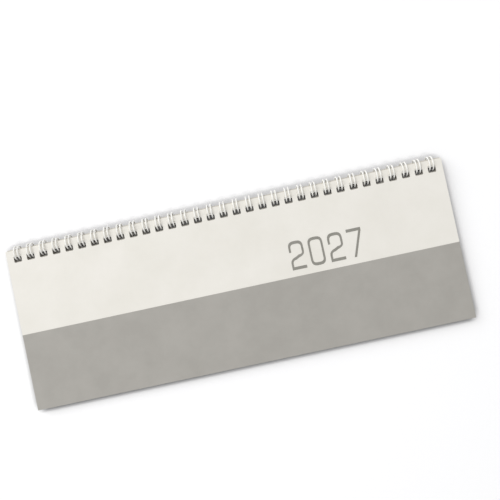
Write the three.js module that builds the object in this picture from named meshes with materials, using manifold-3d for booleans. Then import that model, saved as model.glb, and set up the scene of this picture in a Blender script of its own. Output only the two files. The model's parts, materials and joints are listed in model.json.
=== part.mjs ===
import * as THREE from 'three';
import { mergeVertices } from 'three/addons/utils/BufferGeometryUtils.js';
import Module from 'manifold-3d';

// Wire-bound desk calendar, closed, lying on its back cover. Millimetres, +Z up.
// X runs along the binding, +Y points from the leaves to the binding.
// The profile of the stack is drawn about the centre of the wire's rings.

// Sheets
const coverWidth = 285;
const coverDepth = 103.5;
const coverThickness = 0.35;
const blockThickness = 4.3;
const boardThickness = 0.75;
const leafSideInset = 0.5;
const leafFarInset = 1;
const boardFarInset = 1;

// Binding
const loopPitch = 25.4 / 3;
const loopFromSide = 6;
const wireDiameter = 0.95;
const twinSpacing = 2.3;
const wireBend = 0.9;
const seamGap = 1.4;
const seamAngle = THREE.MathUtils.degToRad(-112);

// Punching
const holeEdgeDistance = 3.5;
const holeSideClearance = 0.925;
const holeEndClearance = 0.24;
const holeCorner = 0.6;

// Clearances and the cover's turning line, seen from the centre of the rings
const wireClearance = 0.15;
const turnClearance = 0.05;
const topLeafDrop = 0.1;
const boardGap = 0.05;
const hingeOut = 0.2;
const hingeDown = 0.1;

// Print on the cover
const bandDepth = 49;
const inkThickness = 0.05;
const inkGap = 0.03;
const inkInset = 0.05;
const numeralWidth = 9.4;
const numeralHeight = 18.3;
const numeralPitch = 12.65;
const numeralUpright = 1.3;
const numeralLevel = 1.9;
const numeralFoot = 4.2;
const numeralsFromSide = 59.5;

// Facets
const legSteps = 12;
const tipSteps = 4;
const wireSides = 5;
const noseSteps = 5;
const curveSteps = 4;

const sheetStack = turnClearance + topLeafDrop + blockThickness + boardGap + boardThickness;
const turnRadius = (sheetStack + turnClearance + topLeafDrop) / 2;
const noseRadius = turnRadius - turnClearance;
const wireRadius = wireDiameter / 2;
const lipCorner = Math.hypot(holeEdgeDistance / 2, turnRadius + coverThickness);
const ringInner = lipCorner + Math.hypot(hingeOut, hingeDown) + wireClearance;
const ringRadius = ringInner + wireRadius;
const ringOuter = ringRadius + wireRadius;

const holeWidth = twinSpacing + wireDiameter + 2 * holeSideClearance;
const holeLength = ringOuter + hingeOut + noseRadius - holeEdgeDistance + holeEndClearance;
const coverReach = hingeOut + holeEdgeDistance / 2;
const coverInside = turnRadius - hingeDown;
const coverTop = coverInside + coverThickness;
const blockTop = coverInside - turnClearance - topLeafDrop;
const blockBottom = blockTop - blockThickness;
const boardTop = blockBottom - boardGap;
const boardBottom = boardTop - boardThickness;
const boardReach = noseReach(boardBottom);
const boardDepth = coverDepth - boardFarInset;
const leafWidth = coverWidth - 2 * leafSideInset;
const leafDepth = coverDepth - leafFarInset;
const loopCount = Math.floor((leafWidth - 2 * loopFromSide) / loopPitch) + 1;
const inkBottom = coverTop + inkGap;
const bandTop = coverReach - coverDepth + bandDepth;

const colours = {
  cream: 0xeae6df,
  warmGrey: 0xaaa7a1,
  ink: 0x93908a,
  leaves: 0xe2dfd6,
  board: 0xb9b5ab,
  wire: 0xe9e6dd,
};

const wasm = await Module();
wasm.setup();

// How far the leaves' bound edge reaches at a height: a rounded nose that the turning cover clears.
function noseReach(height) {
  const above = height + hingeDown;
  return hingeOut + Math.sqrt(noseRadius ** 2 - above ** 2);
}

function loopPlaces() {
  const places = [];
  for (let loop = 0; loop < loopCount; loop += 1) {
    places.push((loop - (loopCount - 1) / 2) * loopPitch);
  }
  return places;
}

function rectangle(left, right, near, far) {
  const shape = new THREE.Shape();
  shape.moveTo(left, near);
  shape.lineTo(right, near);
  shape.lineTo(right, far);
  shape.lineTo(left, far);
  shape.closePath();
  return shape;
}

function punchedHole(centre, near, far) {
  const left = centre - holeWidth / 2;
  const right = centre + holeWidth / 2;
  const hole = new THREE.Path();
  hole.moveTo(left + holeCorner, near);
  hole.lineTo(right - holeCorner, near);
  hole.lineTo(right, near + holeCorner);
  hole.lineTo(right, far - holeCorner);
  hole.lineTo(right - holeCorner, far);
  hole.lineTo(left + holeCorner, far);
  hole.lineTo(left, far - holeCorner);
  hole.lineTo(left, near + holeCorner);
  hole.closePath();
  return hole;
}

function plate(shape, thickness) {
  const settings = { depth: thickness, bevelEnabled: false, curveSegments: curveSteps };
  return new THREE.ExtrudeGeometry(shape, settings);
}

function punchedSheet(width, depth, reach, thickness) {
  const outline = rectangle(-width / 2, width / 2, reach - depth, reach);
  const far = reach - holeEdgeDistance;
  for (const place of loopPlaces()) {
    outline.holes.push(punchedHole(place, far - holeLength, far));
  }
  return plate(outline, thickness);
}

// A profile drawn with its first axis outwards and its second axis up, drawn out along the binding.
function alongBinding(profile, width, centre) {
  const geometry = new THREE.ExtrudeGeometry(profile, { depth: width, bevelEnabled: false });
  const axes = new THREE.Matrix4().makeBasis(
    new THREE.Vector3(0, 1, 0),
    new THREE.Vector3(0, 0, 1),
    new THREE.Vector3(1, 0, 0),
  );
  geometry.applyMatrix4(axes);
  geometry.translate(centre - width / 2, 0, 0);
  return geometry;
}

// The leaves are all one size, so each profile repeats the nose at a fixed distance behind it.
function noseProfile(nearShift, farShift, overshoot) {
  const shape = new THREE.Shape();
  const heights = [];
  for (let step = 0; step <= noseSteps; step += 1) {
    heights.push(blockBottom + (blockThickness * step) / noseSteps);
  }
  const last = heights.length - 1;
  const spread = (index) => (index === 0 ? -overshoot : index === last ? overshoot : 0);
  heights.forEach((height, index) => {
    const reach = noseReach(height) - nearShift;
    if (index === 0) {
      shape.moveTo(reach, height + spread(index));
    } else {
      shape.lineTo(reach, height + spread(index));
    }
  });
  for (let index = last; index >= 0; index -= 1) {
    shape.lineTo(noseReach(heights[index]) - farShift, heights[index] + spread(index));
  }
  shape.closePath();
  return shape;
}

function toSolid(geometry) {
  const bare = geometry.clone();
  bare.deleteAttribute('normal');
  bare.deleteAttribute('uv');
  const merged = mergeVertices(bare, 1e-5);
  const mesh = new wasm.Mesh({
    numProp: 3,
    vertProperties: new Float32Array(merged.attributes.position.array),
    triVerts: new Uint32Array(merged.index.array),
  });
  return new wasm.Manifold(mesh);
}

function toGeometry(solid) {
  const mesh = solid.getMesh();
  const geometry = new THREE.BufferGeometry();
  geometry.setAttribute('position', new THREE.BufferAttribute(mesh.vertProperties, 3));
  geometry.setIndex(new THREE.BufferAttribute(mesh.triVerts, 1));
  geometry.computeVertexNormals();
  return geometry;
}

function pageBlock() {
  const leaves = toSolid(alongBinding(noseProfile(0, leafDepth, 0), leafWidth, 0));
  const holeFar = holeEdgeDistance + holeLength;
  const channel = noseProfile(holeEdgeDistance, holeFar, boardGap);
  let punched = leaves;
  for (const place of loopPlaces()) {
    punched = punched.subtract(toSolid(alongBinding(channel, holeWidth, place)));
  }
  return toGeometry(punched);
}

// A route given by its corner points, so that each section of the wire sits on one of them.
class WireRoute extends THREE.Curve {
  constructor(points) {
    super();
    this.points = points;
  }

  getPoint(share, target = new THREE.Vector3()) {
    const index = Math.round(share * (this.points.length - 1));
    return target.copy(this.points[index]);
  }

  getPointAt(share, target) {
    return this.getPoint(share, target);
  }

  getTangentAt(share, target = new THREE.Vector3()) {
    const last = this.points.length - 1;
    const index = Math.round(share * last);
    const before = this.points[Math.max(index - 1, 0)];
    const after = this.points[Math.min(index + 1, last)];
    return target.copy(after).sub(before).normalize();
  }
}

// The wire runs along the seam, up one leg, round a narrow turn, back down and on to the next loop.
function wirePoints() {
  const legEnd = 2 * Math.PI * ringRadius - seamGap - twinSpacing / 2;
  const legStep = (legEnd - wireBend) / legSteps;
  const facetRadius = ringRadius / Math.cos(legStep / ringRadius / 2);
  const onRing = (along, run) => {
    const angle = seamAngle - run / ringRadius;
    return new THREE.Vector3(along, facetRadius * Math.cos(angle), facetRadius * Math.sin(angle));
  };
  const points = [];
  loopPlaces().forEach((place, loop) => {
    const left = place - twinSpacing / 2;
    const right = place + twinSpacing / 2;
    points.push(loop === 0 ? onRing(left, 0) : onRing(left - wireBend, 0));
    for (let step = 0; step <= legSteps; step += 1) {
      points.push(onRing(left, wireBend + step * legStep));
    }
    for (let step = 1; step < tipSteps; step += 1) {
      const turn = (Math.PI * step) / tipSteps;
      const reach = (twinSpacing / 2) * Math.sin(turn);
      points.push(onRing(place - (twinSpacing / 2) * Math.cos(turn), legEnd + reach));
    }
    for (let step = legSteps; step >= 0; step -= 1) {
      points.push(onRing(right, wireBend + step * legStep));
    }
    points.push(loop === loopCount - 1 ? onRing(right, 0) : onRing(right + wireBend, 0));
  });
  return points;
}

function bindingWire() {
  const section = new THREE.Shape();
  for (let side = 0; side < wireSides; side += 1) {
    const angle = (2 * Math.PI * side) / wireSides;
    const x = wireRadius * Math.cos(angle);
    const y = wireRadius * Math.sin(angle);
    if (side === 0) {
      section.moveTo(x, y);
    } else {
      section.lineTo(x, y);
    }
  }
  section.closePath();
  const points = wirePoints();
  return new THREE.ExtrudeGeometry(section, {
    steps: points.length - 1,
    extrudePath: new WireRoute(points),
    bevelEnabled: false,
  });
}

function roundedFrame(shape, inset, rise, corner) {
  const left = inset;
  const right = numeralWidth - inset;
  const low = rise;
  const high = numeralHeight - rise;
  shape.moveTo(left + corner, low);
  shape.lineTo(right - corner, low);
  shape.quadraticCurveTo(right, low, right, low + corner);
  shape.lineTo(right, high - corner);
  shape.quadraticCurveTo(right, high, right - corner, high);
  shape.lineTo(left + corner, high);
  shape.quadraticCurveTo(left, high, left, high - corner);
  shape.lineTo(left, low + corner);
  shape.quadraticCurveTo(left, low, left + corner, low);
  return shape;
}

function figureZero() {
  const outerCorner = numeralWidth * 0.4;
  const innerCorner = numeralWidth * 0.24;
  const shape = roundedFrame(new THREE.Shape(), 0, 0, outerCorner);
  shape.holes.push(roundedFrame(new THREE.Path(), numeralUpright, numeralLevel, innerCorner));
  return shape;
}

function figureTwo() {
  const right = numeralWidth;
  const high = numeralHeight;
  const outer = numeralWidth * 0.4;
  const inner = numeralWidth * 0.26;
  const stub = numeralHeight * 0.62;
  const waist = numeralHeight * 0.45;
  const slope = numeralHeight * 0.055;
  const innerRight = right - numeralUpright;
  const shape = new THREE.Shape();
  shape.moveTo(0, 0);
  shape.lineTo(right, 0);
  shape.lineTo(right, numeralLevel);
  shape.lineTo(numeralUpright, numeralLevel);
  shape.lineTo(numeralUpright, waist - numeralLevel - inner);
  shape.quadraticCurveTo(numeralUpright, waist - numeralLevel, outer, waist - numeralLevel);
  shape.lineTo(right - outer, waist - numeralLevel + slope);
  shape.quadraticCurveTo(right, waist - numeralLevel + 2 * slope, right, waist + inner);
  shape.lineTo(right, high - outer);
  shape.quadraticCurveTo(right, high, right - outer, high);
  shape.lineTo(outer, high);
  shape.quadraticCurveTo(0, high, 0, high - outer);
  shape.lineTo(0, stub);
  shape.lineTo(numeralUpright, stub);
  shape.lineTo(numeralUpright, high - numeralLevel - inner);
  shape.quadraticCurveTo(numeralUpright, high - numeralLevel, numeralUpright + inner, high - numeralLevel);
  shape.lineTo(innerRight - inner, high - numeralLevel);
  shape.quadraticCurveTo(innerRight, high - numeralLevel, innerRight, high - numeralLevel - inner);
  shape.lineTo(innerRight, waist + inner);
  shape.quadraticCurveTo(innerRight, waist + slope, right - outer, waist + slope);
  shape.lineTo(outer, waist);
  shape.quadraticCurveTo(0, waist - slope, 0, waist - outer);
  shape.closePath();
  return shape;
}

function figureSeven() {
  const footLeft = numeralWidth * 0.23;
  const stroke = numeralUpright * 1.15;
  const shape = new THREE.Shape();
  shape.moveTo(footLeft, 0);
  shape.lineTo(footLeft + stroke, 0);
  shape.lineTo(numeralWidth, numeralHeight - numeralLevel);
  shape.lineTo(numeralWidth, numeralHeight);
  shape.lineTo(0, numeralHeight);
  shape.lineTo(0, numeralHeight - numeralLevel);
  shape.lineTo(numeralWidth - stroke, numeralHeight - numeralLevel);
  shape.closePath();
  return shape;
}

function paint(colour, roughness) {
  return new THREE.MeshStandardMaterial({ color: colour, roughness, metalness: 0 });
}

function piece(name, geometry, material, height) {
  const mesh = new THREE.Mesh(geometry, material);
  mesh.name = name;
  mesh.position.z = height;
  return mesh;
}

function frontCover() {
  const cover = new THREE.Group();
  const card = punchedSheet(coverWidth, coverDepth, coverReach, coverThickness);
  cover.add(piece('front_cover', card, paint(colours.cream, 0.75), coverInside));

  const side = coverWidth / 2 - inkInset;
  const farEdge = coverReach - coverDepth + inkInset;
  const band = plate(rectangle(-side, side, farEdge, bandTop), inkThickness);
  cover.add(piece('cover_band', band, paint(colours.warmGrey, 0.7), inkBottom));

  const figures = [figureTwo(), figureZero(), figureTwo(), figureSeven()];
  const rowWidth = numeralWidth + (figures.length - 1) * numeralPitch;
  const rowStart = coverWidth / 2 - numeralsFromSide - rowWidth;
  figures.forEach((figure, index) => {
    const print = plate(figure, inkThickness);
    const numeral = piece(`year_numeral_${index + 1}`, print, paint(colours.ink, 0.7), inkBottom);
    numeral.position.x = rowStart + index * numeralPitch;
    numeral.position.y = bandTop + numeralFoot;
    cover.add(numeral);
  });
  return cover;
}

function backBoard() {
  const board = punchedSheet(coverWidth, boardDepth, boardReach, boardThickness);
  return piece('back_cover', board, paint(colours.board, 0.85), boardBottom);
}

// The rings touch the desk under the binding and the back cover's far edge touches it in front,
// so the stack leans a little.
function restingTilt(ringDrop) {
  const run = boardDepth - boardReach;
  const boardDrop = -boardBottom;
  return Math.asin(ringDrop / Math.hypot(run, boardDrop)) - Math.atan2(boardDrop, run);
}

const wire = piece('binding_wire', bindingWire(), paint(colours.wire, 0.4), 0);
wire.geometry.computeBoundingBox();
const ringDrop = -wire.geometry.boundingBox.min.z;

const stack = new THREE.Group();
stack.add(frontCover());
stack.add(piece('page_block', pageBlock(), paint(colours.leaves, 0.85), 0));
stack.add(backBoard());
stack.rotation.x = restingTilt(ringDrop);

const calendar = new THREE.Group();
calendar.add(stack, wire);
calendar.updateMatrixWorld(true);
const extent = new THREE.Box3().setFromObject(calendar, true);
const middle = extent.getCenter(new THREE.Vector3());
calendar.position.set(-middle.x, -middle.y, -extent.min.z);
calendar.updateMatrixWorld(true);

export default calendar;
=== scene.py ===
"""A wire-bound desk calendar, closed on its back board: fine shapes, finishes, light and view."""

import json
import logging
import math
import random
from dataclasses import dataclass
from enum import Enum, IntEnum
from typing import Callable, Optional, Sequence

import bpy
from mathutils import Matrix, Vector


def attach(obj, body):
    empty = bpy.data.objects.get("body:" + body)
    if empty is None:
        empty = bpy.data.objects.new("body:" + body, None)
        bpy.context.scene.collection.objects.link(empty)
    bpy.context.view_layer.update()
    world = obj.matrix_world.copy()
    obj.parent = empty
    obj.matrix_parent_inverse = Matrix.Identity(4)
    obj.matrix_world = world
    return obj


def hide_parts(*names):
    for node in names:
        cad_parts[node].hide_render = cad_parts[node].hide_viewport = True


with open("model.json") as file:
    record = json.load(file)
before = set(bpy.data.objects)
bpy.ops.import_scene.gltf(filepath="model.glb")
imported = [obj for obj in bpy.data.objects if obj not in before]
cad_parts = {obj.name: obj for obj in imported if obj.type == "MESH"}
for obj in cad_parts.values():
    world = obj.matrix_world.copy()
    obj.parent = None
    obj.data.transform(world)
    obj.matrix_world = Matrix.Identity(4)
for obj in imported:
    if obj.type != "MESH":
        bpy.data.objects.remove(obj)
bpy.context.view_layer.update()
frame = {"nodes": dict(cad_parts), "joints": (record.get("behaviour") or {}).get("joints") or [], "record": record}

LOG = logging.getLogger("desk_calendar")
MM = 0.001
SQUARE_ON = 0.7

Colour = tuple[float, float, float]
Node = bpy.types.Node
Socket = bpy.types.NodeSocket
Piece = bpy.types.Object


class Body(str, Enum):
    """The rigid bodies that a piece can ride on."""

    BLOCK = "bound_block"
    COVER = "cover"


class Slot(str, Enum):
    """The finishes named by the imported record."""

    CARD = "cover_card"
    BAND = "cover_print"
    FIGURES = "figure_print"
    LEAVES = "leaves"
    BOARD = "back_board"
    WIRE = "wire"


class Tone(IntEnum):
    """The places of a sheet's materials in its list."""

    FACE = 0
    EDGE = 1
    # painted shade on the lower leaves' fanned edge and round their holes
    FAN = 2
    HOLE = 3


def linear(red: int, green: int, blue: int) -> Colour:
    """A colour as seen on screen, in the linear values that shaders take.

    Args:
        red, green, blue: screen levels from 0 to 255.

    Returns:
        The three linear values.
    """
    def one(level: int) -> float:
        """The linear value of one screen level."""
        share = level / 255
        return share / 12.92 if share <= 0.04045 else ((share + 0.055) / 1.055) ** 2.4

    return one(red), one(green), one(blue)


@dataclass(frozen=True)
class Binding:
    """The stack's own frame: ring centre at zero, +Y out of the binding, +Z up through the leaves."""

    hinge: Vector
    tilt: float
    hinge_out: float = 0.2 * MM
    hinge_down: float = 0.1 * MM
    ring_radius: float = 4.365 * MM
    wire_radius: float = 0.475 * MM
    turn_radius: float = 2.7 * MM
    turn_clearance: float = 0.05 * MM
    loops: int = 33
    pitch: float = 25.4 / 3 * MM
    edge_to_hole: float = 3.5 * MM
    hole_length: float = 4.43 * MM
    hole_width: float = 5.1 * MM
    hole_corner: float = 0.8 * MM

    @classmethod
    def from_frame(cls) -> "Binding":
        """Reads the turning line and the stack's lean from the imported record.

        Returns:
            The binding, placed as the frame has it.
        """
        joint = frame["joints"][0]
        lean = frame["record"]["mounts"][0]["axis"]
        return cls(hinge=Vector(joint["pos_m"]), tilt=math.atan2(lean[1], -lean[2]))

    @property
    def matrix(self) -> Matrix:
        """The way from the stack's own frame to the row frame.

        Returns:
            The turn and move in one matrix.
        """
        turn = Matrix.Rotation(self.tilt, 4, "X")
        centre = self.hinge - turn @ Vector((0, self.hinge_out, -self.hinge_down))
        return Matrix.Translation(centre) @ turn

    @property
    def loop_places(self) -> list[float]:
        """Where each loop's middle lies along the binding."""
        return [(loop - (self.loops - 1) / 2) * self.pitch for loop in range(self.loops)]

    def reach(self, height: float) -> float:
        """How far a leaf's bound edge reaches, on the fan round the wire.

        Args:
            height: the leaf's height over the ring's centre.

        Returns:
            The distance out of the binding.
        """
        above = height + self.hinge_down
        radius = self.turn_radius - self.turn_clearance
        return self.hinge_out + math.sqrt(max(radius**2 - above**2, 0.0))

    def place(self, piece: Piece) -> None:
        """Moves a piece from the stack's own frame to the row frame, with its place in its mesh.

        Args:
            piece: the finished piece.
        """
        piece.matrix_world = self.matrix
        activate(piece)
        bpy.ops.object.transform_apply(location=True, rotation=True, scale=True)


def activate(piece: Piece) -> None:
    """Selects one piece alone and makes it the active one.

    Args:
        piece: the piece to work on next.
    """
    bpy.ops.object.select_all(action="DESELECT")
    piece.select_set(True)
    bpy.context.view_layer.objects.active = piece


def apply_modifier(piece: Piece, kind: str, **settings: object) -> None:
    """Adds a modifier to a piece, sets it and applies it.

    Args:
        piece: the piece to change.
        kind: Blender's name for the modifier's type.
        **settings: the modifier's own values.
    """
    modifier = piece.modifiers.new(kind.lower(), kind)
    for name, value in settings.items():
        setattr(modifier, name, value)
    activate(piece)
    bpy.ops.object.modifier_apply(modifier=modifier.name)


def pick_edges(piece: Piece, wanted: Callable[[Vector, Vector], bool]) -> None:
    """Selects some of a piece's edges and leaves it in edit mode.

    Args:
        piece: the piece to look through.
        wanted: says of an edge's two ends whether it is selected.
    """
    activate(piece)
    bpy.ops.object.mode_set(mode="EDIT")
    bpy.ops.mesh.select_mode(type="EDGE")
    bpy.ops.mesh.select_all(action="DESELECT")
    bpy.ops.object.mode_set(mode="OBJECT")
    points = piece.data.vertices
    for edge in piece.data.edges:
        first, second = (points[index].co for index in edge.vertices)
        edge.select = wanted(first, second)
    bpy.ops.object.mode_set(mode="EDIT")


def box_piece(name: str, size: Sequence[float], centre: Sequence[float]) -> Piece:
    """A block to shape further, with its size and place in its mesh.

    Args:
        name: the piece's name.
        size: its three sides.
        centre: its middle.

    Returns:
        The new piece.
    """
    bpy.ops.object.select_all(action="DESELECT")
    bpy.ops.mesh.primitive_cube_add(size=1, location=centre)
    piece = bpy.context.object
    piece.name = name
    piece.data.name = name
    piece.scale = size
    bpy.ops.object.transform_apply(location=True, rotation=True, scale=True)
    return piece


def copy_piece(piece: Piece, name: str) -> Piece:
    """A second piece with a mesh of its own.

    Args:
        piece: the piece to copy.
        name: the copy's name.

    Returns:
        The copy.
    """
    twin = piece.copy()
    twin.data = piece.data.copy()
    twin.name = name
    bpy.context.scene.collection.objects.link(twin)
    return twin


def join_pieces(pieces: Sequence[Piece], name: str) -> Piece:
    """Joins pieces into the first of them.

    Args:
        pieces: two pieces or more.
        name: the joined piece's name.

    Returns:
        The joined piece.
    """
    bpy.ops.object.select_all(action="DESELECT")
    for piece in pieces:
        piece.select_set(True)
    bpy.context.view_layer.objects.active = pieces[0]
    bpy.ops.object.join()
    pieces[0].name = name
    pieces[0].data.name = name
    return pieces[0]


def report(piece: Piece) -> None:
    """Logs a finished piece with its face count."""
    LOG.info("%s: %d faces", piece.name, len(piece.data.polygons))


class Nodes:
    """A small hand for wiring the nodes of one material or node group."""

    def __init__(self, tree: bpy.types.NodeTree) -> None:
        """Keeps the tree that the nodes go into."""
        self.tree = tree

    def add(self, kind: str, **inputs: object) -> Node:
        """Adds a node and feeds it.

        Args:
            kind: Blender's name for the node's type.
            **inputs: values or sockets by input name, with _ for a space.

        Returns:
            The new node.
        """
        node = self.tree.nodes.new(kind)
        for name, value in inputs.items():
            self.feed(node, name.replace("_", " "), value)
        return node

    def feed(self, node: Node, name: str, value: object) -> None:
        """Links a socket to an input, or sets the input's own value.

        Args:
            node: the node to feed.
            name: the input's name.
            value: a socket, a colour or a number.
        """
        socket = node.inputs[name]
        if isinstance(value, bpy.types.NodeSocket):
            self.tree.links.new(value, socket)
        elif isinstance(value, tuple) and len(value) == 3 and socket.type == "RGBA":
            socket.default_value = (*value, 1.0)
        else:
            socket.default_value = value

    def blend(self, share: Socket, first: object, second: object) -> Socket:
        """Mixes two colours.

        Args:
            share: how much of the second one shows.
            first, second: sockets or colours.

        Returns:
            The mixed colour.
        """
        node = self.tree.nodes.new("ShaderNodeMix")
        node.data_type = "RGBA"
        links = {0: share, 6: first, 7: second}
        for index, value in links.items():
            socket = node.inputs[index]
            if isinstance(value, bpy.types.NodeSocket):
                self.tree.links.new(value, socket)
            elif isinstance(value, tuple):
                socket.default_value = (*value, 1.0)
            else:
                socket.default_value = value
        return node.outputs[2]

    def remap(self, value: Socket, low: float, high: float, to_low: float, to_high: float) -> Socket:
        """Stretches a value from one span to another, held at its ends.

        Args:
            value: the value to stretch.
            low, high: the span it comes in.
            to_low, to_high: the span it goes to.

        Returns:
            The stretched value.
        """
        node = self.add("ShaderNodeMapRange", Value=value, From_Min=low, From_Max=high)
        node.inputs["To Min"].default_value = to_low
        node.inputs["To Max"].default_value = to_high
        return node.outputs["Result"]

    def reckon(self, operation: str, first: Socket, second: Socket) -> Socket:
        """Works one value out of two.

        Args:
            operation: Blender's name for the sum.
            first, second: the two values.

        Returns:
            The result.
        """
        node = self.tree.nodes.new("ShaderNodeMath")
        node.operation = operation
        for value, entry in zip((first, second), node.inputs):
            self.tree.links.new(value, entry)
        return node.outputs[0]

    def background_rays(self) -> Socket:
        """Tells rays that look at the background from rays that light the calendar.

        Returns:
            One for rays from the camera, a glossy face or glass, and nought for the rest.
        """
        rays = self.add("ShaderNodeLightPath").outputs
        mirrored = self.reckon("ADD", rays["Is Glossy Ray"], rays["Is Transmission Ray"])
        return self.reckon("ADD", rays["Is Camera Ray"], mirrored)


def paper_group() -> bpy.types.NodeTree:
    """The grain that all paper and board share: soft clouds in the pulp, and fibres felted on top.

    Returns:
        A node group that takes Position, Cloud Size and Fibre Size, and gives Cloud and Fibre.
    """
    group = bpy.data.node_groups.new("paper_grain", "ShaderNodeTree")
    sockets = group.interface
    sockets.new_socket("Position", in_out="INPUT", socket_type="NodeSocketVector")
    sockets.new_socket("Cloud Size", in_out="INPUT", socket_type="NodeSocketFloat")
    sockets.new_socket("Fibre Size", in_out="INPUT", socket_type="NodeSocketFloat")
    sockets.new_socket("Cloud", in_out="OUTPUT", socket_type="NodeSocketFloat")
    sockets.new_socket("Fibre", in_out="OUTPUT", socket_type="NodeSocketFloat")
    nodes = Nodes(group)
    given = group.nodes.new("NodeGroupInput").outputs
    shown = group.nodes.new("NodeGroupOutput")

    def scale_for(size: Socket) -> Socket:
        """The noise scale that gives spots of a size.

        Args:
            size: the spots' size.

        Returns:
            One over it.
        """
        node = nodes.add("ShaderNodeMath")
        node.operation = "DIVIDE"
        node.inputs[0].default_value = 1.0
        group.links.new(size, node.inputs[1])
        return node.outputs[0]

    cloud_scale = scale_for(given["Cloud Size"])
    fibre_scale = scale_for(given["Fibre Size"])
    cloud = nodes.add("ShaderNodeTexNoise", Vector=given["Position"], Scale=cloud_scale, Detail=5.0,
                      Roughness=0.6)
    felt = nodes.add("ShaderNodeMapping", Vector=given["Position"])
    felt.inputs["Scale"].default_value = (0.45, 1.0, 1.0)
    felt.inputs["Rotation"].default_value = (0.0, 0.0, 0.5)
    fibre = nodes.add("ShaderNodeTexNoise", Vector=felt.outputs[0], Scale=fibre_scale, Detail=6.0,
                      Roughness=0.65, Distortion=0.6)
    group.links.new(cloud.outputs["Fac"], shown.inputs["Cloud"])
    group.links.new(fibre.outputs["Fac"], shown.inputs["Fibre"])
    return group


@dataclass(frozen=True)
class PaperFinish:
    """Paper, card or board: two close tones in soft clouds, a felted surface and a matt face."""

    name: str
    tone: Colour
    cloud_tone: Colour
    cloud_size: float = 22 * MM
    fibre_size: float = 0.35 * MM
    fibre_depth: float = 0.012 * MM
    fleck_tone: Optional[Colour] = None
    fleck_span: tuple[float, float] = (0.56, 0.66)
    fleck_strength: float = 0.5
    cloud_span: tuple[float, float] = (0.35, 0.65)
    fibre_span: tuple[float, float] = (0.3, 0.7)
    roughness: float = 0.7
    roughness_swing: float = 0.06
    gloss: float = 0.3

    def build(self, grain: bpy.types.NodeTree) -> bpy.types.Material:
        """Makes the material.

        Args:
            grain: the shared paper grain.

        Returns:
            The material, dressed by Object coordinates.
        """
        material = bpy.data.materials.new(self.name)
        material.use_nodes = True
        tree = material.node_tree
        nodes = Nodes(tree)
        shader = tree.nodes["Principled BSDF"]
        place = tree.nodes.new("ShaderNodeTexCoord").outputs["Object"]
        paper = tree.nodes.new("ShaderNodeGroup")
        paper.node_tree = grain
        nodes.feed(paper, "Position", place)
        nodes.feed(paper, "Cloud Size", self.cloud_size)
        nodes.feed(paper, "Fibre Size", self.fibre_size)
        cloud, fibre = paper.outputs["Cloud"], paper.outputs["Fibre"]
        share = nodes.remap(cloud, *self.cloud_span, 0.0, 1.0)
        colour = nodes.blend(share, self.tone, self.cloud_tone)
        if self.fleck_tone is not None:
            fleck = nodes.remap(fibre, *self.fleck_span, 0.0, self.fleck_strength)
            colour = nodes.blend(fleck, colour, self.fleck_tone)
        nodes.feed(shader, "Base Color", colour)
        smooth, coarse = self.roughness - self.roughness_swing, self.roughness + self.roughness_swing
        nodes.feed(shader, "Roughness", nodes.remap(fibre, *self.fibre_span, smooth, coarse))
        bump = nodes.add("ShaderNodeBump", Height=fibre, Distance=self.fibre_depth)
        bump.inputs["Strength"].default_value = 1.0
        nodes.feed(shader, "Normal", bump.outputs["Normal"])
        shader.inputs["Specular IOR Level"].default_value = self.gloss
        return material


@dataclass(frozen=True)
class CoatedWireFinish:
    """Steel wire under a thin off-white nylon coat, a little uneven as coated wire is."""

    name: str
    tone: Colour
    thin_tone: Colour
    ripple_size: float = 1.6 * MM
    ripple_depth: float = 0.02 * MM
    thin_span: tuple[float, float] = (0.4, 0.72)
    ripple_span: tuple[float, float] = (0.3, 0.7)
    roughness_span: tuple[float, float] = (0.3, 0.44)
    coat: float = 0.25
    coat_roughness: float = 0.2

    def build(self) -> bpy.types.Material:
        """Makes the material.

        Returns:
            The material, dressed by Object coordinates.
        """
        material = bpy.data.materials.new(self.name)
        material.use_nodes = True
        tree = material.node_tree
        nodes = Nodes(tree)
        shader = tree.nodes["Principled BSDF"]
        place = tree.nodes.new("ShaderNodeTexCoord").outputs["Object"]
        ripple = nodes.add("ShaderNodeTexNoise", Vector=place, Scale=1 / self.ripple_size, Detail=3.0)
        wave = ripple.outputs["Fac"]
        share = nodes.remap(wave, *self.thin_span, 0.0, 1.0)
        nodes.feed(shader, "Base Color", nodes.blend(share, self.tone, self.thin_tone))
        nodes.feed(shader, "Roughness", nodes.remap(wave, *self.ripple_span, *self.roughness_span))
        bump = nodes.add("ShaderNodeBump", Height=wave, Distance=self.ripple_depth)
        nodes.feed(shader, "Normal", bump.outputs["Normal"])
        shader.inputs["Coat Weight"].default_value = self.coat
        shader.inputs["Coat Roughness"].default_value = self.coat_roughness
        return material


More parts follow.
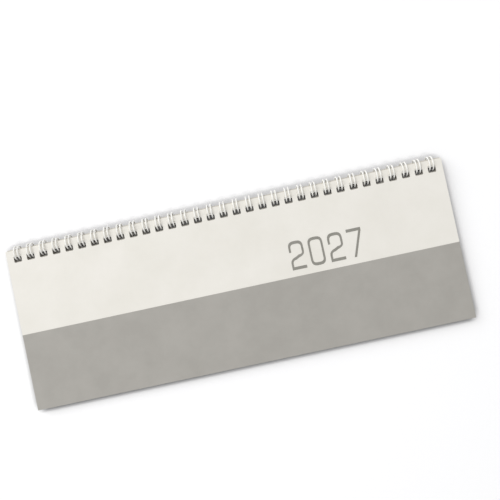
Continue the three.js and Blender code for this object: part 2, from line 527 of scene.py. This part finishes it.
class Finishes:
    """Every material of the calendar, made once."""

    def __init__(self) -> None:
        """Builds the shared grain and all finishes."""
        grain = paper_group()
        self.card = PaperFinish(
            "cream_card", linear(236, 233, 226), linear(231, 228, 220), cloud_size=30 * MM,
        ).build(grain)
        self.card_edge = PaperFinish(
            "card_cut_edge", linear(243, 241, 236), linear(236, 233, 227), fibre_size=0.15 * MM,
        ).build(grain)
        self.band = PaperFinish(
            "warm_grey_print", linear(171, 168, 162), linear(165, 162, 156), cloud_size=16 * MM,
        ).build(grain)
        self.figures = PaperFinish(
            "grey_figure_ink", linear(147, 145, 138), linear(139, 137, 129), cloud_size=3 * MM,
        ).build(grain)
        self.leaf = PaperFinish(
            "leaf_paper", linear(241, 240, 236), linear(236, 234, 229), fibre_depth=0.006 * MM,
        ).build(grain)
        self.leaf_edge = PaperFinish(
            "leaf_cut_edge", linear(220, 217, 209), linear(205, 202, 193), cloud_size=2.5 * MM,
            fibre_size=0.12 * MM,
        ).build(grain)
        # painted shade: the lower leaves' fanned edge is toned greyer than the paper, where shade falls between
        # the fanned leaves
        self.leaf_fan = PaperFinish(
            "fanned_edge_painted_shade", linear(214, 210, 201), linear(203, 199, 190), cloud_size=2.5 * MM,
            fibre_size=0.12 * MM,
        ).build(grain)
        # painted shade: the lower leaves are darker round their holes, where the holes lie in shade
        self.hole_shade = PaperFinish(
            "punched_hole_shade", linear(172, 168, 160), linear(160, 156, 148), cloud_size=2.5 * MM,
        ).build(grain)
        self.board = PaperFinish(
            "grey_board", linear(190, 186, 177), linear(176, 172, 163), cloud_size=6 * MM,
            fibre_size=0.6 * MM, fibre_depth=0.03 * MM, fleck_tone=linear(120, 114, 104),
            roughness=0.82,
        ).build(grain)
        self.column = PaperFinish(
            "day_column_tint", linear(213, 212, 210), linear(208, 207, 204), fibre_depth=0.006 * MM,
        ).build(grain)
        self.rule = PaperFinish(
            "rule_ink", linear(142, 143, 146), linear(132, 133, 136), cloud_size=3 * MM,
        ).build(grain)
        self.dark_ink = PaperFinish(
            "date_ink", linear(62, 62, 64), linear(50, 50, 52), cloud_size=2 * MM,
        ).build(grain)
        self.red_ink = PaperFinish(
            "red_ink", linear(186, 54, 52), linear(172, 46, 46), cloud_size=2 * MM,
        ).build(grain)
        self.wire = CoatedWireFinish(
            "white_wire_coat", linear(249, 248, 244), linear(238, 236, 230),
        ).build()


def dress_cut_edges(piece: Piece, face: bpy.types.Material, edge: bpy.types.Material) -> None:
    """Gives a sheet's broad faces one material and its cut edges another.

    Args:
        piece: the sheet, told apart by its faces' slope.
        face: the broad faces' material.
        edge: the cut edges' material.
    """
    piece.data.materials.clear()
    piece.data.materials.append(face)
    piece.data.materials.append(edge)
    for polygon in piece.data.polygons:
        polygon.material_index = Tone.FACE if abs(polygon.normal.z) > SQUARE_ON else Tone.EDGE


@dataclass
class PunchedSheet:
    """One sheet of the calendar with its row of holes, drawn in the stack's own frame."""

    name: str
    width: float
    depth: float
    thickness: float
    reach: float
    bottom: float
    rim: float = 0.0
    corner_steps: int = 4
    rim_steps: int = 2
    rim_angle: float = math.radians(60)
    punch_share: float = 4.0

    def punch(self, binding: Binding) -> Piece:
        """A row of square punches with rounded corners, long enough to go through the sheet.

        Args:
            binding: the row of holes.

        Returns:
            The punches, joined.
        """
        through = self.punch_share * self.thickness
        middle = self.reach - binding.edge_to_hole - binding.hole_length / 2
        height = self.bottom + self.thickness / 2
        size = (binding.hole_width, binding.hole_length, through)
        punch = box_piece("punch", size, (binding.loop_places[0], middle, height))
        pick_edges(punch, lambda a, b: abs(a.z - b.z) > through / 2)
        bpy.ops.mesh.bevel(offset=binding.hole_corner, segments=self.corner_steps, affect="EDGES")
        bpy.ops.object.mode_set(mode="OBJECT")
        apply_modifier(punch, "ARRAY", count=binding.loops, use_relative_offset=False,
                       use_constant_offset=True, constant_offset_displace=(binding.pitch, 0, 0))
        return punch

    def build(self, binding: Binding) -> Piece:
        """Cuts the sheet, punches it and breaks its sharp rims.

        Args:
            binding: the row of holes that the sheet shares with the others.

        Returns:
            The sheet, still in the stack's own frame.
        """
        middle = (0, self.reach - self.depth / 2, self.bottom + self.thickness / 2)
        sheet = box_piece(self.name, (self.width, self.depth, self.thickness), middle)
        punch = self.punch(binding)
        apply_modifier(sheet, "BOOLEAN", operation="DIFFERENCE", object=punch, solver="EXACT")
        bpy.data.objects.remove(punch)
        if self.rim:
            apply_modifier(sheet, "BEVEL", width=self.rim, segments=self.rim_steps,
                           limit_method="ANGLE", angle_limit=self.rim_angle)
        return sheet


@dataclass
class FrontCover:
    """The cream card with its printed band and year, which turns over the wire."""

    binding: Binding
    finishes: Finishes
    width: float = 285 * MM
    depth: float = 103.5 * MM
    thickness: float = 0.35 * MM
    rim: float = 0.05 * MM

    def build(self) -> None:
        """Models the card, and dresses it and the print that the frame holds."""
        binding = self.binding
        reach = binding.hinge_out + binding.edge_to_hole / 2
        inside = binding.turn_radius - binding.hinge_down
        card = PunchedSheet("cover_card", self.width, self.depth, self.thickness, reach, inside,
                            self.rim).build(binding)
        dress_cut_edges(card, self.finishes.card, self.finishes.card_edge)
        binding.place(card)
        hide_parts("front_cover")
        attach(card, Body.COVER.value)
        report(card)
        self.dress_print()

    def dress_print(self) -> None:
        """Gives the band and the figures their inks."""
        for name, node in frame["nodes"].items():
            if name == "cover_band":
                node.material_slots[0].material = self.finishes.band
            elif name.startswith("year_numeral"):
                node.material_slots[0].material = self.finishes.figures


@dataclass
class LeafBlock:
    """The bound leaves, each one a sheet of its own, fanned round the wire at their bound edge."""

    binding: Binding
    finishes: Finishes
    width: float = 284 * MM
    depth: float = 102.5 * MM
    thickness: float = 4.3 * MM
    top: float = 2.45 * MM
    leaves: int = 54
    filled: float = 0.88
    stagger: float = 0.04 * MM
    seed: int = 27
    hole_corner_steps: int = 2
    fan_strip: float = 3.4 * MM
    hole_strip: float = 8.6 * MM
    end_margin: float = 1 * MM

    def tone_bound_edge(self, leaf: Piece) -> None:
        """Paints shade on a leaf: a greyer painted shade on its fanned edge, and a darker painted shade on the
        stretch with its holes.

        Args:
            leaf: a leaf below the first one, dressed as that one is.
        """
        activate(leaf)
        bpy.ops.object.mode_set(mode="EDIT")
        for strip in (self.fan_strip, self.hole_strip):
            bpy.ops.mesh.select_all(action="SELECT")
            bpy.ops.mesh.bisect(plane_co=(0, -strip, 0), plane_no=(0, 1, 0))
        bpy.ops.object.mode_set(mode="OBJECT")
        for material in (self.finishes.leaf_fan, self.finishes.hole_shade):
            leaf.data.materials.append(material)
        end = self.width / 2 - self.end_margin
        for polygon in leaf.data.polygons:
            inward = -polygon.center.y
            if abs(polygon.normal.x) > SQUARE_ON and abs(polygon.center.x) > end:
                continue
            # painted shade on the fanned strip by the bound edge
            if inward < self.fan_strip:
                polygon.material_index = Tone.FAN
            # painted shade on the strip round the holes
            elif inward < self.hole_strip:
                polygon.material_index = Tone.HOLE

    def build(self) -> None:
        """Models one leaf and lays the block of its copies."""
        binding = self.binding
        pitch = self.thickness / self.leaves
        bottom = self.top - self.thickness
        leaf = PunchedSheet("leaf", self.width, self.depth, pitch * self.filled, reach=0, bottom=0,
                            corner_steps=self.hole_corner_steps).build(binding)
        dress_cut_edges(leaf, self.finishes.leaf, self.finishes.leaf_edge)
        lower_leaf = copy_piece(leaf, "lower_leaf")
        self.tone_bound_edge(lower_leaf)
        draw = random.Random(self.seed)
        leaves = []
        for index in range(self.leaves):
            height = bottom + index * pitch
            shift = binding.reach(height + pitch / 2)
            kind = leaf if index == self.leaves - 1 else lower_leaf
            copy = copy_piece(kind, f"leaf_{index + 1}")
            inset = draw.uniform(-self.stagger, 0)
            aside = draw.uniform(-1, 1) * self.stagger
            copy.data.transform(Matrix.Translation((aside, shift + inset, height)))
            leaves.append(copy)
        bpy.data.objects.remove(leaf)
        bpy.data.objects.remove(lower_leaf)
        block = join_pieces(leaves, "leaf_block")
        binding.place(block)
        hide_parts("page_block")
        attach(block, Body.BLOCK.value)
        report(block)


@dataclass
class FirstLeafPrint:
    """The week's plan printed on the first leaf: seven day columns, rules, dates and a month table."""

    binding: Binding
    finishes: Finishes
    leaf_top: float = 2.45 * MM
    leaf_depth: float = 102.5 * MM
    ink: float = 0.02 * MM
    width: float = 273 * MM
    height: float = 77 * MM
    foot_margin: float = 8 * MM
    rule: float = 0.2 * MM
    rows: int = 16
    days: int = 7
    first_day: int = 4
    month_days: int = 31
    month_start: int = 4
    year: int = 2027
    week: int = 1
    curve_steps: int = 3
    inset: float = 1.6 * MM
    date_size: float = 4.2 * MM
    date_rise: float = 1.2 * MM
    table_size: float = 2.3 * MM
    table_step: float = 3.4 * MM
    table_drop: float = 2.9 * MM
    table_weeks: int = 6
    year_size: float = 6 * MM
    week_size: float = 26 * MM
    week_indent: float = 8 * MM
    week_row: float = 9.4
    tab_size: tuple[float, float] = (22.4 * MM, 6 * MM)
    tab_gap: float = 0.6 * MM

    @property
    def foot(self) -> float:
        """The lower side of the plan's frame."""
        return self.binding.reach(self.leaf_top) - self.leaf_depth + self.foot_margin

    @property
    def column(self) -> float:
        """The width of a day's column."""
        return self.width / self.days

    def level(self, layer: int) -> float:
        """The middle height of a layer of ink, the first one on the paper."""
        return self.leaf_top + (layer + 1) * self.ink

    def field(self, name: str, size: tuple[float, float], corner: tuple[float, float], layer: int) -> Piece:
        """A printed rectangle.

        Args:
            name: the piece's name.
            size: its width and height.
            corner: its lower left corner.
            layer: the layer of ink it is in.

        Returns:
            The new piece, as thick as the ink.
        """
        middle = (corner[0] + size[0] / 2, corner[1] + size[1] / 2, self.level(layer))
        return box_piece(name, (*size, self.ink), middle)

    def number(self, value: int, height: float, place: tuple[float, float], align: str = "LEFT") -> Piece:
        """A plain printed number.

        Args:
            value: the number.
            height: the type size.
            place: its lower left corner, or its lower right one.
            align: LEFT, CENTER or RIGHT.

        Returns:
            The number as a mesh.
        """
        bpy.ops.object.select_all(action="DESELECT")
        bpy.ops.object.text_add(location=(*place, self.level(1)))
        text = bpy.context.object
        text.name = f"number_{value}"
        text.data.body = str(value)
        text.data.size = height
        text.data.align_x = align
        text.data.extrude = self.ink / 2
        text.data.resolution_u = self.curve_steps
        bpy.ops.object.convert(target="MESH")
        bpy.ops.object.transform_apply(location=True, rotation=True, scale=True)
        return bpy.context.object

    def columns(self) -> Piece:
        """Every second day's column, tinted.

        Returns:
            The columns as one piece.
        """
        tint = self.field("day_columns", (self.column, self.height), (-self.width / 2, self.foot), 0)
        apply_modifier(tint, "ARRAY", count=(self.days + 1) // 2, use_relative_offset=False,
                       use_constant_offset=True, constant_offset_displace=(2 * self.column, 0, 0))
        return tint

    def rules(self) -> Piece:
        """The writing rules, the lines between the days and the frame round them.

        Returns:
            The lines as one piece.
        """
        left = -self.width / 2
        line = self.field("leaf_rules", (self.width, self.rule), (left, self.foot - self.rule / 2), 1)
        apply_modifier(line, "ARRAY", count=self.rows + 1, use_relative_offset=False,
                       use_constant_offset=True,
                       constant_offset_displace=(0, self.height / self.rows, 0))
        upright = self.field("upright", (self.rule, self.height), (left - self.rule / 2, self.foot), 2)
        apply_modifier(upright, "ARRAY", count=self.days + 1, use_relative_offset=False,
                       use_constant_offset=True, constant_offset_displace=(self.column, 0, 0))
        return join_pieces([line, upright], "leaf_rules")

    def dates(self) -> tuple[list[Piece], list[Piece]]:
        """The numbers of the days and of the week, and the month's table.

        Returns:
            The numbers printed dark, and those printed red.
        """
        dark, red = [], []
        head = self.foot + self.height - self.height / self.rows + self.date_rise
        for day in range(self.days):
            place = (-self.width / 2 + day * self.column + self.inset, head)
            number = self.number(self.first_day + day, self.date_size, place)
            (red if day == self.days - 1 else dark).append(number)
        table_left = self.width / 2 - self.days * self.table_step - self.inset
        table_head = self.foot + (self.table_weeks - 1) * self.table_drop + self.inset
        for day in range(1, self.month_days + 1):
            week, weekday = divmod(day + self.month_start - 1, self.days)
            along = table_left + (weekday + 1) * self.table_step
            place = (along, table_head - week * self.table_drop)
            number = self.number(day, self.table_size, place, "RIGHT")
            (red if weekday == self.days - 1 else dark).append(number)
        year_place = (self.width / 2, self.foot + self.height + self.inset)
        red.append(self.number(self.year, self.year_size, year_place, "RIGHT"))
        return dark, red

    def finish(self, piece: Piece, material: bpy.types.Material) -> None:
        """Inks a piece of print and fixes it to the leaves.

        Args:
            piece: the print, drawn in the stack's own frame.
            material: its ink.
        """
        piece.data.materials.clear()
        piece.data.materials.append(material)
        self.binding.place(piece)
        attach(piece, Body.BLOCK.value)
        report(piece)

    def build(self) -> None:
        """Prints the leaf."""
        finishes = self.finishes
        self.finish(self.columns(), finishes.column)
        self.finish(self.rules(), finishes.rule)
        dark, red = self.dates()
        self.finish(join_pieces(dark, "leaf_dates"), finishes.dark_ink)
        left = -self.width / 2
        week_place = (left + self.week_indent, self.foot + self.week_row * self.height / self.rows)
        week = self.number(self.week, self.week_size, week_place)
        week.name = week.data.name = "week_number"
        self.finish(week, finishes.figures)
        tab_foot = self.foot - self.tab_size[1] - self.tab_gap
        red.append(self.field("month_tab", self.tab_size, (left, tab_foot), 0))
        self.finish(join_pieces(red, "leaf_red_print"), finishes.red_ink)


@dataclass
class BackBoard:
    """The stiff grey board that the calendar lies on."""

    binding: Binding
    finishes: Finishes
    width: float = 285 * MM
    depth: float = 102.5 * MM
    thickness: float = 0.75 * MM
    bottom: float = -2.65 * MM
    rim: float = 0.08 * MM

    def build(self) -> None:
        """Models and dresses the board."""
        binding = self.binding
        reach = binding.reach(self.bottom)
        board = PunchedSheet("grey_back_board", self.width, self.depth, self.thickness, reach, self.bottom,
                             self.rim).build(binding)
        dress_cut_edges(board, self.finishes.board, self.finishes.board)
        binding.place(board)
        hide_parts("back_cover")
        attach(board, Body.BLOCK.value)
        report(board)


@dataclass
class TwinLoopWire:
    """One wire bent to narrow loops, two strands to a hole, and closed under the back board."""

    binding: Binding
    finishes: Finishes
    twin_spacing: float = 2.3 * MM
    bend: float = 0.9 * MM
    seam_gap: float = 1.4 * MM
    seam_angle: float = math.radians(-112)
    leg_steps: int = 36
    tip_steps: int = 8
    bend_steps: int = 4
    section_steps: int = 2
    smooth_angle: float = math.radians(50)

    def on_ring(self, along: float, run: float) -> Vector:
        """A point on the ring.

        Args:
            along: its place along the binding.
            run: how far round the ring it lies from the seam.

        Returns:
            The point.
        """
        radius = self.binding.ring_radius
        angle = self.seam_angle - run / radius
        return Vector((along, radius * math.cos(angle), radius * math.sin(angle)))

    def loop_points(self, place: float) -> list[Vector]:
        """One loop: a bend off the seam, a leg, the narrow tip, the other leg and a bend back.

        Args:
            place: the loop's middle along the binding.

        Returns:
            The points of the wire's centre line.
        """
        half = self.twin_spacing / 2
        leg_end = 2 * math.pi * self.binding.ring_radius - self.seam_gap - half
        leg_step = (leg_end - self.bend) / self.leg_steps
        bend = [
            (half + self.bend * (1 - math.sin(turn)), self.bend * (1 - math.cos(turn)))
            for turn in (math.pi / 2 * step / self.bend_steps for step in range(self.bend_steps))
        ]
        leg = [(half, self.bend + step * leg_step) for step in range(self.leg_steps + 1)]
        side = bend + leg
        tip = [
            (-half * math.cos(turn), leg_end + half * math.sin(turn))
            for turn in (math.pi * step / self.tip_steps for step in range(1, self.tip_steps))
        ]
        shape = [(-out, run) for out, run in side] + tip + side[::-1]
        return [self.on_ring(place + out, run) for out, run in shape]

    def route(self) -> list[Vector]:
        """The wire's centre line through all its loops.

        Returns:
            Its points, with straight ends in place of the outer bends.
        """
        places = self.binding.loop_places
        half = self.twin_spacing / 2
        points = [point for place in places for point in self.loop_points(place)]
        inner = points[self.bend_steps:-self.bend_steps]
        return [self.on_ring(places[0] - half, 0), *inner, self.on_ring(places[-1] + half, 0)]

    def build(self) -> None:
        """Models the wire along its whole route, and dresses it."""
        points = self.route()
        curve = bpy.data.curves.new("twin_loop_wire", "CURVE")
        curve.dimensions = "3D"
        spline = curve.splines.new("POLY")
        spline.points.add(len(points) - 1)
        for target, point in zip(spline.points, points):
            target.co = (*point, 1.0)
        curve.bevel_depth = self.binding.wire_radius
        curve.bevel_resolution = self.section_steps
        curve.use_fill_caps = True
        wire = bpy.data.objects.new("twin_loop_wire", curve)
        bpy.context.scene.collection.objects.link(wire)
        activate(wire)
        bpy.ops.object.convert(target="MESH")
        wire = bpy.context.object
        bpy.ops.object.shade_smooth_by_angle(angle=self.smooth_angle)
        wire.data.materials.clear()
        wire.data.materials.append(self.finishes.wire)
        self.binding.place(wire)
        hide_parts("binding_wire")
        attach(wire, Body.BLOCK.value)
        report(wire)


@dataclass
class Studio:
    """A pale desk, soft light and the Standard view transform."""

    desk_tone: Colour = linear(251, 251, 252)
    desk_glow: float = 0.06
    desk_size: float = 4.0
    # painted shade: the desk's colour darkens to this where the calendar is close
    contact_tone: Colour = linear(100, 100, 103)
    contact_reach: float = 6 * MM
    contact_span: tuple[float, float] = (0.62, 1.0)
    binding_line: float = 47 * MM
    binding_fade: float = 3 * MM
    binding_light: float = 0.6
    desk_roughness: float = 0.85
    sky_strength: float = 0.65
    sky_seen: float = 0.97
    lamp_power: float = 22.3
    lamp_size: float = 1.9
    lamp_place: tuple[float, float, float] = (-0.95, 0.8, 1.4)

    def build(self) -> None:
        """Lays the desk and sets the light."""
        self.lay_desk()
        self.set_sky()
        self.set_lamp()
        bpy.context.scene.view_settings.view_transform = "Standard"

    def lay_desk(self) -> None:
        """The plain desk top, with a soft painted shade close round the calendar, painted lighter under the wire.
        """
        bpy.ops.object.select_all(action="DESELECT")
        bpy.ops.mesh.primitive_plane_add(size=self.desk_size, location=(0, 0, 0))
        desk = bpy.context.object
        desk.name = "desk_top"
        material = bpy.data.materials.new("pale_desk")
        material.use_nodes = True
        shader = material.node_tree.nodes["Principled BSDF"]
        shader.inputs["Roughness"].default_value = self.desk_roughness
        shader.inputs["Emission Color"].default_value = (1.0, 1.0, 1.0, 1.0)
        nodes = Nodes(material.node_tree)
        # painted shade: an occlusion mask darkens the desk's colour near the calendar, and a mask along Y takes
        # part of it away under the wire
        openness = nodes.add("ShaderNodeAmbientOcclusion", Distance=self.contact_reach).outputs["AO"]
        share = nodes.remap(openness, *self.contact_span, 0.0, 1.0)
        place = nodes.add("ShaderNodeTexCoord").outputs["Object"]
        along_y = nodes.add("ShaderNodeSeparateXYZ", Vector=place).outputs["Y"]
        fade_end = self.binding_line + self.binding_fade
        spared = nodes.remap(along_y, self.binding_line, fade_end, 0.0, self.binding_light)
        lighter = nodes.reckon("MAXIMUM", share, spared)
        nodes.feed(shader, "Base Color", nodes.blend(lighter, self.contact_tone, self.desk_tone))
        seen = nodes.background_rays()
        nodes.feed(shader, "Emission Strength", nodes.remap(seen, 0.0, 1.0, 0.0, self.desk_glow))
        desk.data.materials.append(material)

    def set_sky(self) -> None:
        """An even pale surround, white where the camera sees it."""
        world = bpy.data.worlds.new("soft_surround")
        world.use_nodes = True
        sky = world.node_tree.nodes["Background"]
        sky.inputs["Color"].default_value = (1.0, 1.0, 1.0, 1.0)
        nodes = Nodes(world.node_tree)
        seen = nodes.background_rays()
        nodes.feed(sky, "Strength", nodes.remap(seen, 0.0, 1.0, self.sky_strength, self.sky_seen))
        bpy.context.scene.world = world

    def set_lamp(self) -> None:
        """One broad lamp above the binding's left end."""
        lamp = bpy.data.lights.new("broad_lamp", "AREA")
        lamp.energy = self.lamp_power
        lamp.size = self.lamp_size
        holder = bpy.data.objects.new("broad_lamp", lamp)
        holder.location = self.lamp_place
        aim = Vector((0, 0, 0)) - Vector(self.lamp_place)
        holder.rotation_euler = aim.to_track_quat("-Z", "Y").to_euler()
        bpy.context.scene.collection.objects.link(holder)


@dataclass(frozen=True)
class PhotoView:
    """The camera, fitted to the cover's four corners in the 500 by 500 photograph."""

    image_side: float = 500.0
    desk_pixels_per_metre: float = 1538.8
    place: tuple[float, float, float] = (17.4 * MM, 3.8 * MM, 370 * MM)
    roll: float = math.radians(-12.19)
    pitch: float = math.radians(2.08)
    yaw: float = math.radians(1.38)
    sensor: float = 36.0

    def build(self) -> None:
        """Hangs the camera over the desk, looking down with a slight lean."""
        camera = bpy.data.cameras.new("photo_camera")
        camera.sensor_width = self.sensor
        camera.lens = self.sensor * self.desk_pixels_per_metre * self.place[2] / self.image_side
        holder = bpy.data.objects.new("photo_camera", camera)
        turn = Matrix.Rotation(self.roll, 4, "Z") @ Matrix.Rotation(self.pitch, 4, "X")
        turn = turn @ Matrix.Rotation(self.yaw, 4, "Y")
        holder.matrix_world = Matrix.Translation(self.place) @ turn
        bpy.context.scene.collection.objects.link(holder)
        bpy.context.scene.camera = holder


def main() -> None:
    """Builds the calendar in order, then its desk, light and view."""
    logging.basicConfig(level=logging.INFO, format="%(name)s %(message)s")
    PhotoView().build()
    binding = Binding.from_frame()
    finishes = Finishes()
    FrontCover(binding, finishes).build()
    LeafBlock(binding, finishes).build()
    FirstLeafPrint(binding, finishes).build()
    BackBoard(binding, finishes).build()
    TwinLoopWire(binding, finishes).build()
    Studio().build()


if __name__ == "__main__":
    main()
